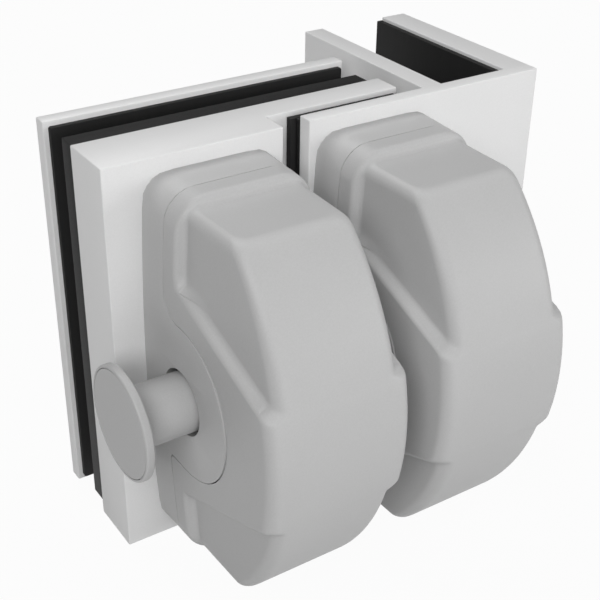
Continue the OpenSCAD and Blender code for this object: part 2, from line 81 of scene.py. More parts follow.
def addBox(name, low, high):  # corners in mm
    deselectAll()
    centre = [(a + b) / 2 * mm for a, b in zip(low, high)]
    bpy.ops.mesh.primitive_cube_add(size=1, location=centre)
    obj = bpy.context.object
    obj.scale = [(b - a) * mm for a, b in zip(low, high)]
    return settle(obj, name)


def addRod(name, along, centre, start, end, r1, r2=None, sides=64):  # round bar or cone along Y or X
    deselectAll()
    x, y, z = centre
    middle = (start + end) / 2
    place = (x, middle, z) if along == "Y" else (middle, y, z)
    turn = (-math.pi / 2, 0, 0) if along == "Y" else (0, math.pi / 2, 0)
    bpy.ops.mesh.primitive_cone_add(
        vertices=sides, radius1=r1 * mm, radius2=(r1 if r2 is None else r2) * mm,
        depth=(end - start) * mm, location=[v * mm for v in place], rotation=turn)
    return settle(bpy.context.object, name)


def meshPiece(name, points, faces, edges=()):  # points in mm
    mesh = bpy.data.meshes.new(name)
    mesh.from_pydata([[v * mm for v in p] for p in points], edges, faces)
    return addObject(name, mesh)


def cleanUp(obj, gap=0.002, outward=True):  # gap in mm
    editAll(obj)
    bpy.ops.mesh.remove_doubles(threshold=gap * mm)
    if outward:
        bpy.ops.mesh.normals_make_consistent(inside=False)
    bpy.ops.object.mode_set(mode="OBJECT")
    return obj


def selectFaces(obj, rule):  # rule gets a face's centre in mm and its normal
    pick(obj)
    bpy.ops.object.mode_set(mode="EDIT")
    bpy.ops.mesh.select_all(action="DESELECT")
    bpy.ops.mesh.select_mode(type="FACE")
    bpy.ops.object.mode_set(mode="OBJECT")
    for face in obj.data.polygons:
        face.select = bool(rule(face.center / mm, face.normal))
    bpy.ops.object.mode_set(mode="EDIT")


def slicePiece(obj, point, normal):  # cuts an edge line round the piece, keeps both sides
    editAll(obj)
    bpy.ops.mesh.bisect(plane_co=[v * mm for v in point], plane_no=normal)
    bpy.ops.object.mode_set(mode="OBJECT")


def pullFaces(obj, rule, move):
    selectFaces(obj, rule)
    bpy.ops.mesh.extrude_region_move(TRANSFORM_OT_translate={"value": [v * mm for v in move]})
    bpy.ops.object.mode_set(mode="OBJECT")


def bevelPiece(obj, width, segments=3, angle=35):
    pick(obj)
    bevel = obj.modifiers.new("bevel", "BEVEL")
    bevel.width = width * mm
    bevel.segments = segments
    bevel.limit_method = "ANGLE"
    bevel.angle_limit = math.radians(angle)
    bevel.use_clamp_overlap = True
    bpy.ops.object.modifier_apply(modifier=bevel.name)
    return obj


def joinAll(objs):
    deselectAll()
    for obj in objs:
        obj.select_set(True)
    bpy.context.view_layer.objects.active = objs[0]
    bpy.ops.object.join()
    return objs[0]


def carve(obj, tools, how="DIFFERENCE"):  # the tools are used up
    for tool in tools:
        pick(obj)
        cut = obj.modifiers.new("cut", "BOOLEAN")
        cut.operation = how
        cut.solver = "EXACT"
        cut.object = tool
        bpy.ops.object.modifier_apply(modifier=cut.name)
        bpy.data.objects.remove(tool, do_unlink=True)
    return obj


def smoothPiece(obj, angle=35):
    pick(obj)
    bpy.ops.object.shade_smooth_by_angle(angle=math.radians(angle))
    return obj


def copyNode(node, name):  # a merged copy of a CAD node's mesh
    obj = addObject(name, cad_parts[node].data.copy())
    cleanUp(obj, gap=0.001, outward=False)
    editAll(obj)
    bpy.ops.mesh.dissolve_limited(angle_limit=math.radians(0.5))
    bpy.ops.object.mode_set(mode="OBJECT")
    return obj


def turnProfile(name, profile, steps):  # profile of (x, r) in mm, turned about the bolt's axis
    y, z = spots["axisY"], spots["axisZ"]
    points = [(x, y, z + r) for x, r in profile]
    obj = meshPiece(name, points, [], [(i, i + 1) for i in range(len(points) - 1)])
    editAll(obj)
    bpy.ops.mesh.spin(steps=steps, angle=2 * math.pi, center=(0, y * mm, z * mm), axis=(1, 0, 0))
    bpy.ops.object.mode_set(mode="OBJECT")
    return cleanUp(obj, gap=0.001)


def cornerArc(cx, cr, radius, start, end, steps=5):  # part of a circle in (x, r), angles in degrees
    turn = [math.radians(start + (end - start) * i / steps) for i in range(steps + 1)]
    return [(cx + radius * math.cos(a), cr + radius * math.sin(a)) for a in turn]


# Helpers for materials

class Shade:  # one socket of a node tree, with arithmetic
    def __init__(self, tree, socket):
        self.tree, self.socket = tree, socket

    def maths(self, what, other):
        node = self.tree.nodes.new("ShaderNodeMath")
        node.operation = what
        for slot, value in enumerate((self, other)):
            if isinstance(value, Shade):
                self.tree.links.new(value.socket, node.inputs[slot])
            else:
                node.inputs[slot].default_value = value
        return Shade(self.tree, node.outputs[0])

    def __add__(self, other):
        return self.maths("ADD", other)

    __radd__ = __add__

    def __mul__(self, other):
        return self.maths("MULTIPLY", other)

    __rmul__ = __mul__


class Nodes:  # a node tree, with one method that adds any node
    def __init__(self, tree):
        self.tree = tree

    def give(self, socket, value):  # a link or a fixed value
        if isinstance(value, Shade):
            self.tree.links.new(value.socket, socket)
        else:
            socket.default_value = value

    def node(self, kind, settings=None, **inputs):  # an input goes by its name, or by i and its number
        made = self.tree.nodes.new(kind)
        for key, value in (settings or {}).items():
            setattr(made, key, value)
        for key, value in inputs.items():
            numbered = key[0] == "i" and key[1:].isdigit()
            self.give(made.inputs[int(key[1:]) if numbered else key], value)
        return made

    def out(self, made, which=0):
        return Shade(self.tree, made.outputs[which])


class Paint(Nodes):  # a material and its node tree
    def __init__(self, name):
        self.material = bpy.data.materials.new(name)
        self.material.use_nodes = True
        super().__init__(self.material.node_tree)
        self.shader = self.tree.nodes["Principled BSDF"]

    def place(self, scale=(1, 1, 1)):  # Object coordinates
        coords = self.out(self.node("ShaderNodeTexCoord"), "Object")
        return self.out(self.node("ShaderNodeMapping", Vector=coords, Scale=scale))

    def noise(self, where, scale, detail=3.0):
        made = self.node("ShaderNodeTexNoise", Vector=where, Scale=scale, Detail=detail, Roughness=0.55)
        return self.out(made)

    def blend(self, amount, first, second):
        mix = self.node("ShaderNodeMix", {"data_type": "RGBA"}, i0=amount, i6=first, i7=second)
        return self.out(mix, 2)

    def bump(self, height, strength, distance):
        return self.out(self.node("ShaderNodeBump", Height=height, Strength=strength, Distance=distance))

    def feed(self, **inputs):  # the principled shader's sockets, with _ for a blank
        for key, value in inputs.items():
            self.give(self.shader.inputs[key.replace("_", " ")], value)
        return self.material


def grey(level):
    return (level, level, level, 1.0)


coats = {
    "plate": {"light": 0.77, "dark": 0.69, "rough": 0.44, "grain": 0.25},
    "housing": {"light": 0.51, "dark": 0.42, "rough": 0.50, "grain": 0.40},
    "fine": 2800, "patch": 46, "fineTone": 0.7, "patchTone": 0.3,
    "fineRough": 0.12, "patchRough": 0.06, "grainDepth": 0.00003,
}


def coatedMetal(name, coat):  # powder coat with a fine grain
    paint = Paint(name)
    where = paint.place()
    fine = paint.noise(where, coats["fine"], detail=2.0)
    patch = paint.noise(where, coats["patch"])
    mixed = fine * coats["fineTone"] + patch * coats["patchTone"]
    tone = paint.blend(mixed, grey(coat["dark"]), grey(coat["light"]))
    least = coat["rough"] - (coats["fineRough"] + coats["patchRough"]) / 2
    return paint.feed(Base_Color=tone,
                      Roughness=fine * coats["fineRough"] + patch * coats["patchRough"] + least,
                      Normal=paint.bump(fine, coat["grain"], coats["grainDepth"]))


rubberLook = {
    "light": 0.013, "dark": 0.006, "rough": 0.66, "shine": 0.28, "fine": 3600, "streak": 900,
    "stretch": (1, 1, 0.06), "fineRough": 0.2, "grain": 0.35, "grainDepth": 0.00005,
}


def rubberSheet(name, look):
    paint = Paint(name)
    fine = paint.noise(paint.place(), look["fine"])
    streak = paint.noise(paint.place(look["stretch"]), look["streak"], detail=2.0)
    tone = paint.blend(fine * 0.5 + streak * 0.5, grey(look["dark"]), grey(look["light"]))
    least = look["rough"] - look["fineRough"] / 2
    return paint.feed(Base_Color=tone, Roughness=fine * look["fineRough"] + least,
                      Specular_IOR_Level=look["shine"],
                      Normal=paint.bump(fine + streak, look["grain"], look["grainDepth"]))


steels = {  # stretch turns the noise into rings left by the lathe, along X, or into lines along Z
    "bright": {"light": 0.62, "rough": 0.30, "stretch": (1, 0.02, 0.02), "lines": 5000, "patch": 120},
    "flat": {"light": 0.58, "rough": 0.38, "stretch": (1, 1, 0.03), "lines": 2500, "patch": 90},
    "black": {"light": 0.07, "rough": 0.42, "stretch": (1, 0.02, 0.02), "lines": 5000, "patch": 120},
    "darker": 0.8, "lineRough": 0.15, "patchRough": 0.1, "lower": 0.12, "grain": 0.2, "grainDepth": 0.00002,
}


def plainSteel(name, steel):
    paint = Paint(name)
    lines = paint.noise(paint.place(steel["stretch"]), steel["lines"], detail=2.0)
    patch = paint.noise(paint.place(), steel["patch"])
    dark = steel["light"] * steels["darker"]
    tone = paint.blend(lines * 0.5 + patch * 0.5, grey(dark), grey(steel["light"]))
    least = steel["rough"] - steels["lower"]
    return paint.feed(Base_Color=tone, Metallic=1.0,
                      Roughness=lines * steels["lineRough"] + patch * steels["patchRough"] + least,
                      Normal=paint.bump(lines, steels["grain"], steels["grainDepth"]))


plasticLook = {
    "dark": 0.0176, "light": 0.0264, "fine": 3000, "patch": 60,
    "fineRough": 0.15, "least": 0.42, "grain": 0.15, "grainDepth": 0.00003,
}


def mouldedPlastic(name, look):
    paint = Paint(name)
    where = paint.place()
    fine = paint.noise(where, look["fine"], detail=2.0)
    patch = paint.noise(where, look["patch"], detail=2.0)
    tone = paint.blend(fine * 0.5 + patch * 0.5, grey(look["dark"]), grey(look["light"]))
    return paint.feed(Base_Color=tone, Roughness=fine * look["fineRough"] + look["least"],
                      Normal=paint.bump(fine, look["grain"], look["grainDepth"]))


plateCoat = coatedMetal("satinWhiteCoat", coats["plate"])
housingCoat = coatedMetal("mattGreyCoat", coats["housing"])
rubber = rubberSheet("blackRubber", rubberLook)
brightSteel = plainSteel("brightTurnedSteel", steels["bright"])
flatSteel = plainSteel("rolledSteel", steels["flat"])
blackSteel = plainSteel("blackenedSteel", steels["black"])
bushPlastic = mouldedPlastic("blackBushPlastic", plasticLook)


def dress(obj, material, body, slotName, *nodes):  # nodes are the CAD nodes that the piece replaces
    obj.data.materials.clear()
    obj.data.materials.append(material)
    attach(obj, body)
    if nodes:
        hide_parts(*nodes)
    print("made", obj.name, len(obj.data.polygons), "faces")
    return obj


print("materials ready")

# Places and holes shared by several pieces, in mm

spots = {
    "front": -22.6, "doorBack": -7.6, "tongueFace": -15.2, "keeperBack": -18.6,
    "glassBack": 6.0, "rearFront": 7.4, "rearBack": 11.2,
    "doorLeft": -47.45, "doorRight": 33.45, "half": 50, "clampX": -11.45, "clampZ": 20,
    "postX": 8.5, "postZ": 34, "latchX": -21.95, "keeperX": 21.95, "axisY": -39.5, "axisZ": 0.0,
}
holes = {  # radii, and how far a countersink's mouth stands out of its face
    "coverScrew": 2.05, "panHead": 3.85, "flatHead": 4.1, "m6": 3.05, "sleeve": 6.1, "mouth": 0.05,
}


def hexBit(along, centre, start, end, across):
    return addRod("hexBit", along, centre, start, end, across / math.sqrt(3), sides=6)


# Plates

plateEdge = {"round": 0.3, "steps": 3}


def makeDoorPlate():
    size = {"step": -3.45, "headDepth": 5.5, "clampTip": -19.8, "clampMouth": -7}
    low = (spots["doorLeft"], spots["front"], -spots["half"])
    plate = addBox("doorPlate", low, (size["step"], spots["doorBack"], spots["half"]))
    slicePiece(plate, (0, spots["tongueFace"], 0), (0, 1, 0))
    tongue = (spots["doorRight"] - size["step"], 0, 0)
    pullFaces(plate, lambda c, n: n.x > 0.9 and c.y > spots["tongueFace"], tongue)
    cleanUp(plate)
    bevelPiece(plate, plateEdge["round"], plateEdge["steps"])
    tools = []
    front, back = spots["front"], spots["doorBack"] + 1
    for x in (-1, 1):
        for z in (-1, 1):
            spot = (spots["latchX"] + x * spots["postX"], 0, z * spots["postZ"])
            tools.append(addRod("hole", "Y", spot, front - 1, back, holes["coverScrew"], sides=32))
            tools.append(addRod("hole", "Y", spot, front + size["headDepth"], back, holes["panHead"], sides=32))
    for z in (-1, 1):
        spot = (spots["clampX"], 0, z * spots["clampZ"])
        tools.append(addRod("hole", "Y", spot, size["clampTip"], size["clampMouth"], holes["m6"], sides=32))
    carve(plate, tools)
    smoothPiece(plate)
    dress(plate, plateCoat, "latch", "white_plate", "door_plate")


def makeRearPlate():
    size = {"headR": 5.8, "headDepth": 2.7}
    front, back = spots["rearFront"], spots["rearBack"]
    low = (spots["doorLeft"], front, -spots["half"])
    plate = addBox("rearPlate", low, (spots["doorRight"], back, spots["half"]))
    bevelPiece(plate, plateEdge["round"], plateEdge["steps"])
    tools = []
    for z in (-1, 1):
        spot = (spots["clampX"], 0, z * spots["clampZ"])
        tools.append(addRod("hole", "Y", spot, front - 1, back + 1, holes["m6"]))
        tools.append(addRod("hole", "Y", spot, back - size["headDepth"], back + holes["mouth"],
                            holes["m6"], size["headR"]))
    carve(plate, tools)
    smoothPiece(plate)
    dress(plate, plateCoat, "latch", "white_plate", "rear_plate")


keeperSize = {
    "left": 3.45, "fin": 38.55, "channelLeft": 44.35, "channelRight": 64.55, "right": 72.15,
    "depth": 51, "setY": 6.9, "setZ": 28, "setStart": 37, "setEnd": 45,
}


def makeKeeperPlate():
    size = keeperSize
    front, back = spots["front"], spots["keeperBack"]
    low = (size["left"], front, -spots["half"])
    plate = addBox("keeperPlate", low, (size["right"], back, spots["half"]))
    for cut in ("fin", "channelLeft", "channelRight"):
        slicePiece(plate, (size[cut], 0, 0), (1, 0, 0))
    for a, b in (("fin", "channelLeft"), ("channelRight", "right")):
        pullFaces(plate, lambda c, n: n.y > 0.9 and size[a] < c.x < size[b], (0, size["depth"], 0))
    cleanUp(plate)
    bevelPiece(plate, plateEdge["round"], plateEdge["steps"])
    tools = []
    sink = holes["flatHead"] - holes["coverScrew"]  # a head of 90 degrees
    for z in (-1, 1):
        spot = (0, size["setY"], z * size["setZ"])
        tools.append(addRod("hole", "X", spot, size["setStart"], size["setEnd"], holes["m6"]))
        for x in (-1, 1):
            spot = (spots["keeperX"] + x * spots["postX"], 0, z * spots["postZ"])
            tools.append(addRod("hole", "Y", spot, front - 1, back + 1, holes["coverScrew"], sides=32))
            tools.append(addRod("hole", "Y", spot, back - sink, back + holes["mouth"],
                                holes["coverScrew"], holes["flatHead"], sides=32))
    carve(plate, tools)
    smoothPiece(plate)
    dress(plate, plateCoat, "latch", "white_plate", "keeper_plate")


makeDoorPlate()
makeRearPlate()
makeKeeperPlate()
print("plates done")

# Rubber

rubberEdge = {"round": 0.25, "steps": 2, "inset": 1.2}
padLeft, padRight = spots["doorLeft"] + rubberEdge["inset"], spots["doorRight"] - rubberEdge["inset"]
padHalf = spots["half"] - rubberEdge["inset"]


def carveSleeves(pad, start, end):  # the holes that the clamp screws' sleeves pass
    places = [(spots["clampX"], 0, z * spots["clampZ"]) for z in (-1, 1)]
    carve(pad, [addRod("hole", "Y", place, start, end, holes["sleeve"]) for place in places])


def makeFrontGasket():
    pad = addBox("frontGasket", (padLeft, spots["doorBack"], -padHalf), (padRight, 0, padHalf))
    bevelPiece(pad, rubberEdge["round"], rubberEdge["steps"])
    carveSleeves(pad, spots["doorBack"] - 1, 1)
    dress(smoothPiece(pad), rubber, "latch", "black_rubber", "front_gasket")


def makeRearGasket():
    size = {"corner": 0.6, "cornerSteps": 8, "round": 0.2}
    front, back = spots["glassBack"], spots["rearFront"]
    pad = addBox("rearGasket", (padLeft, front, -padHalf), (padRight, back, padHalf))
    pick(pad)
    bpy.ops.object.mode_set(mode="EDIT")
    bpy.ops.mesh.select_mode(type="EDGE")
    bpy.ops.mesh.select_all(action="DESELECT")
    bpy.ops.object.mode_set(mode="OBJECT")
    for edge in pad.data.edges:
        a, b = (pad.data.vertices[i].co for i in edge.vertices)
        edge.select = abs(a.y - b.y) > (back - front) / 2 * mm
    bpy.ops.object.mode_set(mode="EDIT")
    bpy.ops.mesh.bevel(offset=size["corner"] * mm, segments=size["cornerSteps"], affect="EDGES")
    bpy.ops.object.mode_set(mode="OBJECT")
    bevelPiece(pad, size["round"], rubberEdge["steps"], angle=50)
    carveSleeves(pad, front - 1, back + 1)
    dress(smoothPiece(pad), rubber, "latch", "black_rubber", "rear_gasket")


def makePads():
    pads = {
        "tonguePad": ((2.05, -16.95, -padHalf), (padRight, spots["tongueFace"], padHalf), "tongue_pad"),
        "keeperBackPad": ((keeperSize["left"], spots["keeperBack"], -padHalf),
                          (keeperSize["fin"] - rubberEdge["inset"], -17.0, padHalf), "keeper_back_pad"),
        "outerGlassPad": ((62.8, spots["keeperBack"], -49.2),
                          (keeperSize["channelRight"], 32.4, 49.2), "outer_glass_pad"),
        "innerGlassPad": ((49.05, -14.6, -42.0), (50.8, 28.4, 42.0), "inner_glass_pad"),
    }
    for name, (low, high, node) in pads.items():
        pad = bevelPiece(addBox(name, low, high), rubberEdge["round"], rubberEdge["steps"])
        dress(smoothPiece(pad), rubber, "latch", "black_rubber", node)


makeFrontGasket()
makeRearGasket()
makePads()
print("rubber done")

# Housings

shell = {
    "halfW": 18.0, "halfH": 46.4, "depth": 52.4, "frontR": 60.0, "sideR": 590.0, "wall": 2.4,
    "backCorner": 5.7, "corner": 7.2, "bodyCorner": 2.4, "seamD": 9.5, "seam": 0.25, "flangeD": 13.6,
    "stepIn": 2.4, "sideStep": 2.2, "stepRun": 2.6, "outerR": 1.3, "draft": 0.016, "bodyDraft": 0.012,
    "panelH": 26.6, "panelSoft": 2.5, "taper": 0.376, "edgeR": 3.0, "creaseR": 5.2,
    "earR": 18.5, "earTop": 6.0, "earLow": 1.6, "axisD": 16.9, "floor": 2.4,
    "postR": 3.8, "postGap": 0.02, "postCover": 1.2, "postHole": 13.4,
    "hollowSpare": 0.6, "hollowCorner": 0.3, "evenUp": 8, "evenFade": 5,
}
rows = {"step": 24, "crease": 16, "front": 60, "hollow": 40}  # from the top of a cover to its middle
levels = {"flange": 4, "run": 26, "panel": 6, "edge": 8, "side": 12}  # points along a row or an outline

stepTilt = 2 * math.atan(shell["stepIn"] / shell["stepRun"])
innerR = shell["stepRun"] / math.sin(stepTilt) - shell["outerR"]


def along(u):  # how far along the step, with even turns through its rounded edge and then its fillet
    if u < 0.5:
        return shell["outerR"] * math.sin(stepTilt * 2 * u) / shell["stepRun"]
    return 1 - innerR * math.sin(stepTilt * 2 * (1 - u)) / shell["stepRun"]


def sunk(t):  # how far the step has sunk, from 0 at the flange to 1 at the body
    t = min(max(t, 0.0), 1.0)
    run, drop, r = shell["stepRun"], shell["stepIn"], shell["outerR"]
    if t * run < r * math.sin(stepTilt):
        return (r - math.sqrt(r * r - (t * run) ** 2)) / drop
    return 1 - (innerR - math.sqrt(innerR ** 2 - ((1 - t) * run) ** 2)) / drop


def drawIn(r, e):  # how far a corner of radius r draws in at a distance e from its end
    return 0.0 if e >= r else r - math.sqrt(max(0.0, r * r - (r - e) ** 2))


def crown(z):  # how far the curved sides draw in at height z
    return shell["sideR"] - math.sqrt(shell["sideR"] ** 2 - z * z)


def panelLine(z):  # depth where the slanted end of the raised side panel begins to sink, less the flange's
    return (shell["panelH"] - abs(z)) / shell["taper"]


def stepAt(d, z):  # distance past the flange's edge or past the panel's slanted end, whichever is nearer
    slant = math.atan(shell["taper"])
    out = d - shell["flangeD"]
    past = (out - panelLine(z)) * math.sin(slant)
    mix = min(max(0.5 + 0.5 * (past - out) / shell["panelSoft"], 0.0), 1.0)
    return past + (out - past) * mix - shell["panelSoft"] * mix * (1 - mix)


def cornerAt(d, t):  # corner radius in the front view, at depth d and with t of the step sunk
    flange = shell["backCorner"] + (shell["corner"] - shell["backCorner"]) * min(d / shell["flangeD"], 1.0)
    return flange + (shell["bodyCorner"] - flange) * t


def halfWidth(d, z):
    t = sunk(stepAt(d, z) / shell["stepRun"])
    out = max(d - shell["flangeD"], 0.0)
    w = shell["halfW"] - crown(z) - shell["draft"] * out - (shell["sideStep"] + shell["bodyDraft"] * out) * t
    return w - drawIn(cornerAt(d, t), shell["halfH"] - shell["stepIn"] * t - abs(z))


def coverSections():  # each row's height, depth reached and front edge radius, from the top to the bottom
    arcBack = shell["frontR"] - shell["depth"]
    creaseR, frontR = shell["creaseR"], shell["frontR"]
    bodyH = shell["halfH"] - shell["stepIn"]
    creaseZ = bodyH - creaseR
    creaseD = math.sqrt((frontR - creaseR) ** 2 - creaseZ ** 2) - arcBack
    creaseAngle = math.atan2(creaseZ, creaseD + arcBack)
    made = []
    for i in range(rows["step"]):  # the step at the flange
        t = along(i / rows["step"])
        made.append((shell["halfH"] - shell["stepIn"] * sunk(t), shell["flangeD"] + shell["stepRun"] * t, 0.0))
    for i in range(rows["crease"] + 1):  # the turn from the flat top into the curved front
        a = math.pi / 2 + (creaseAngle - math.pi / 2) * i / rows["crease"]
        made.append((creaseZ + creaseR * math.sin(a), creaseD + creaseR * math.cos(a), shell["edgeR"]))
    for i in range(1, rows["front"] + 1):  # the curved front
        a = creaseAngle * (1 - i / rows["front"])
        made.append((frontR * math.sin(a), frontR * math.cos(a) - arcBack, shell["edgeR"]))
    return made + [(-z, d, r) for z, d, r in reversed(made[:-1])]


def evenShare(z):  # 1 beside the panel, where levels are even, to 0 above it, where they follow the step
    return min(max((shell["panelH"] + shell["evenUp"] - abs(z)) / shell["evenFade"], 0.0), 1.0)


def sectionSide(z, depth, r):
    full = depth - r
    line = max(panelLine(z), 0.0)
    start = min(shell["flangeD"] + line, full)
    slanted = min(line / shell["stepRun"], 1.0)
    run = shell["stepRun"] * (1 + slanted * (1 / math.sin(math.atan(shell["taper"])) - 1))
    end = min(start + run, full)
    seamFace = shell["seamD"] + shell["seam"]
    spread = [seamFace + (start - seamFace) * i / levels["flange"] for i in range(levels["flange"])]
    even = evenShare(z)
    for i in range(levels["run"] + 1):
        u = i / levels["run"]
        if end - start < run:  # a row that ends within the step
            spread.append(start + (end - start) * (u + (1 - even) * (u - u * u)))
        else:
            spread.append(start + run * (u * even + along(u) * (1 - even)))
    spread += [end + (full - end) * i / levels["panel"] for i in range(1, levels["panel"] + 1)]
    side = [(halfWidth(v, z), v) for v in spread]
    for i in range(1, levels["edge"] + 1):
        a = math.pi / 2 * i / levels["edge"]
        v = full + r * math.sin(a)
        side.append((halfWidth(v, z) - r * (1 - math.cos(a)), v))
    return side


def coverForm(name, x0):
    points, loops = [], []
    for z, depth, r in coverSections():
        side = sectionSide(z, depth, r)
        loop = side + [(-x, v) for x, v in reversed(side)]
        loops.append(list(range(len(points), len(points) + len(loop))))
        points += [(x0 + x, spots["front"] - v, z) for x, v in loop]
    faces = []
    n, flat, end = len(loops[0]), rows["step"], levels["flange"] + levels["run"]
    for i, (upper, lower) in enumerate(zip(loops, loops[1:])):
        wide, narrow = (lower, upper) if i == flat - 1 else (upper, lower)
        onFlat = i in (flat - 1, len(loops) - 1 - flat)
        for j in range(n):
            k = (j + 1) % n
            if not (onFlat and end <= j < n - 1 - end):
                faces.append((upper[k], upper[j], lower[j], lower[k]))
        if onFlat:  # the flat top or underside of the body is one face
            faces.append((narrow[n // 2 - 1], narrow[n // 2], wide[n - 1 - end], wide[end]))
            faces.append(tuple(wide[end:n - end]))
    for loop, flip in ((loops[0], False), (loops[-1], True)):
        for j in range(n // 2 - 1):
            quad = [loop[j], loop[j + 1], loop[n - 2 - j], loop[n - 1 - j]]
            faces.append(tuple(reversed(quad)) if flip else tuple(quad))
    return cleanUp(meshPiece(name, points, faces), gap=0.004)


def block(name, near, far):  # a closed block between two equal outlines
    n = len(near)
    faces = [tuple(range(n)), tuple(range(2 * n - 1, n - 1, -1))]
    faces += [(i, (i + 1) % n, (i + 1) % n + n, i + n) for i in range(n)]
    return cleanUp(meshPiece(name, near + far, faces))


def prismX(name, outline, x0, x1):  # outline of (depth, height) from the plate, in mm
    return block(name, *([(x, spots["front"] - d, z) for d, z in outline] for x in (x0, x1)))


def bodySide(h, r, back):  # side outline of the hollow, flat above and below, curved in front
    arcBack = shell["frontR"] - shell["depth"]
    top, n = math.asin(h / r), rows["hollow"]
    turns = [top * (1 - i / n) for i in range(2 * n + 1)]
    return [(back, h)] + [(r * math.cos(a) - arcBack, r * math.sin(a)) for a in turns] + [(back, -h)]


def frontPrism(t, inset, x0, reach):  # the front outline, inset by a wall, as a block from the plate
    w = shell["halfW"] - shell["sideStep"] * t - inset
    h = shell["halfH"] - shell["stepIn"] * t - inset
    r = max(cornerAt(shell["flangeD"], t) - inset, shell["hollowCorner"])
    n, m = levels["edge"], levels["side"]
    side = [(w - r * (1 - math.cos(a)) - crown(h - r + r * math.sin(a)), h - r + r * math.sin(a))
            for a in (math.pi / 2 * (1 - i / n) for i in range(n + 1))]
    side += [(w - crown((h - r) * (1 - i / m)), (h - r) * (1 - i / m)) for i in range(1, m + 1)]
    side += [(x, -z) for x, z in reversed(side[:-1])]
    loop = side + [(-x, z) for x, z in reversed(side)]
    return block("frontPrism", *([(x0 + x, spots["front"] - d, z) for x, z in loop] for d in (-1, reach)))


def panelSide(margin):  # side outline of the hollow between the side panels
    front = shell["depth"] - shell["wall"] - shell["hollowSpare"]
    high = shell["panelH"] - margin
    low = high - (front - shell["flangeD"]) * shell["taper"]
    return [(shell["floor"], high), (shell["flangeD"], high), (front, low),
            (front, -low), (shell["flangeD"], -high), (shell["floor"], -high)]


def earOutline(grow):  # the round tab of the base, with its fillets, in (depth, height)
    r, root = shell["earR"] + grow, shell["seamD"] + grow
    cz, cd = spots["axisZ"], shell["axisD"]
    inner = shell["seamD"] - 1
    turns = [math.radians(90 * i / 8) for i in range(9)]
    top, low = ([(root + w - w * math.cos(t), cz + f * (r + w - w * math.sin(t))) for t in turns]
                for f, w in ((1, shell["earTop"] - grow), (-1, shell["earLow"] - grow)))
    tab = [(cd + r * math.sin(a), cz + r * math.cos(a)) for a in (math.pi * i / 60 for i in range(61))]
    return [(inner, top[0][1])] + top + tab + low[::-1] + [(inner, low[0][1])]


def makePost(x, z):  # a screw post that ends inside the front wall
    front, floor, r = spots["front"], shell["floor"], shell["postR"]
    back = floor + shell["postGap"]
    post = addRod("post", "Y", (x, 0, z), front - shell["depth"], front - back, r, sides=32)
    cover = shell["postCover"]
    reach = bodySide(shell["halfH"] - shell["stepIn"] - cover, shell["frontR"] - cover, floor)
    carve(post, [prismX("reach", reach, x - 2 * r, x + 2 * r)], "INTERSECT")
    hole = addRod("hole", "Y", (x, 0, z), front - shell["postHole"], front, holes["coverScrew"], sides=24)
    return carve(post, [hole])


def makeCover(name, x0, node):
    wall, inner = shell["wall"], shell["halfW"] - shell["wall"]
    bodyH = shell["halfH"] - shell["stepIn"] - wall
    hollowR = shell["frontR"] - wall
    cover = coverForm(name, x0)
    body = prismX("hollow", bodySide(bodyH, hollowR, shell["floor"]), x0 - inner, x0 + inner)
    panels = prismX("hollow", panelSide(wall), x0 - inner, x0 + inner)
    tools = [
        carve(body, [frontPrism(1, wall, x0, shell["depth"])], "INTERSECT"),
        carve(panels, [frontPrism(0, wall, x0, shell["depth"])], "INTERSECT"),
        frontPrism(0, wall, x0, shell["flangeD"]),
    ]
    notch = earOutline(shell["seam"])
    edge = inner - shell["seam"]
    tools.append(prismX("notch", notch, x0 + edge, x0 + shell["halfW"] + 1))
    tools.append(prismX("notch", notch, x0 - shell["halfW"] - 1, x0 - edge))
    carve(cover, tools)
    for x in (-1, 1):
        for z in (-1, 1):
            carve(cover, [makePost(x0 + x * spots["postX"], z * spots["postZ"])], "UNION")
    cleanUp(cover, outward=False)
    smoothPiece(cover, angle=38)
    dress(cover, housingCoat, "latch", "grey_housing", node)


def tightenCorners(obj, x0):  # the housing's corners are tighter at the plate than at the flange's edge
    wide = shell["corner"]
    for point in obj.data.vertices:
        x, y, z = point.co / mm
        d = spots["front"] - y
        out = abs(x - x0) + crown(z) - (shell["halfW"] - wide)
        up = abs(z) - (shell["halfH"] - wide)
        if min(out, up) <= 0.01 or d > shell["seamD"] + 0.1:  # not on a corner, or on the ear
            continue
        turn = math.atan2(up, out)
        gain = wide - cornerAt(d, 0)
        x += math.copysign(gain * (1 - math.cos(turn)), x - x0)
        z += math.copysign(gain * (1 - math.sin(turn)), z)
        point.co = Vector((x, y, z)) * mm


baseEdge = {"round": 0.3, "steps": 3}


def makeBase(name, x0, node):
    base = copyNode(node, name)
    tightenCorners(base, x0)
    bevelPiece(base, baseEdge["round"], baseEdge["steps"], angle=40)
    smoothPiece(base)
    dress(base, housingCoat, "latch", "grey_housing", node)


makeCover("latchCover", spots["latchX"], "latch_cover")
makeCover("keeperCover", spots["keeperX"], "keeper_cover")
makeBase("latchBase", spots["latchX"], "latch_base")
makeBase("keeperBase", spots["keeperX"], "keeper_base")
print("housings done")

# Knob and bolt

knobSize = {
    "front": -54.85, "disc": 13.05, "thick": 2.0, "neck": 6.9, "fillet": 3.0, "rim": 0.7, "capT": 0.8,
    "end": -21.35, "bore": 5.02, "boreStart": -35.25, "round": 0.45, "lipRound": 0.15, "endRound": 0.3,
    "capGap": 0.1, "capRound": 0.2, "sides": 120,
}


